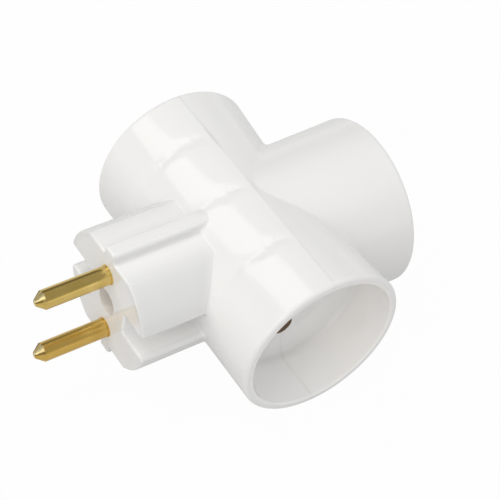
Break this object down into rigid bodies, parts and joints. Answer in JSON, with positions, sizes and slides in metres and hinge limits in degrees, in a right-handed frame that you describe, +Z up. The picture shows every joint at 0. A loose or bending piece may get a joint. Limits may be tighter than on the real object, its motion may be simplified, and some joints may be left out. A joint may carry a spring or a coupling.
{
  "type": "multi socket adapter",
  "caption": "White plug-in mains adapter: round brass pins on a slotted plug body, and recessed round sockets at the ends of crossing tubes.",
  "frame": {"origin": "middle of the plug's front face, between the two pins", "axes": "+X from the plug to the rear socket, Y along the cross tube with the side sockets, +Z up along the line through both pins"},
  "size_m": [0.0938, 0.0704, 0.044],
  "materials": {
    "casing": "glossy moulded white",
    "pins": "turned bright brass",
    "contacts": "stamped brass sheet",
    "springs": "spring steel strip",
    "screw": "zinc plated"
  },
  "bodies": {
    "root": {"front_shell": "casing", "rear_shell": "casing", "casing_screw": "screw", "contact_rivets": "contacts", "upper_pin": "pins", "upper_strip": "contacts", "upper_left_sleeve": "contacts", "upper_left_spring_ring": "springs", "upper_right_sleeve": "contacts", "upper_right_spring_ring": "springs", "upper_rear_sleeve": "contacts", "upper_rear_spring_ring": "springs", "lower_pin": "pins", "lower_strip": "contacts", "lower_left_sleeve": "contacts", "lower_left_spring_ring": "springs", "lower_right_sleeve": "contacts", "lower_right_spring_ring": "springs", "lower_rear_sleeve": "contacts", "lower_rear_spring_ring": "springs"}
  },
  "joints": []
}
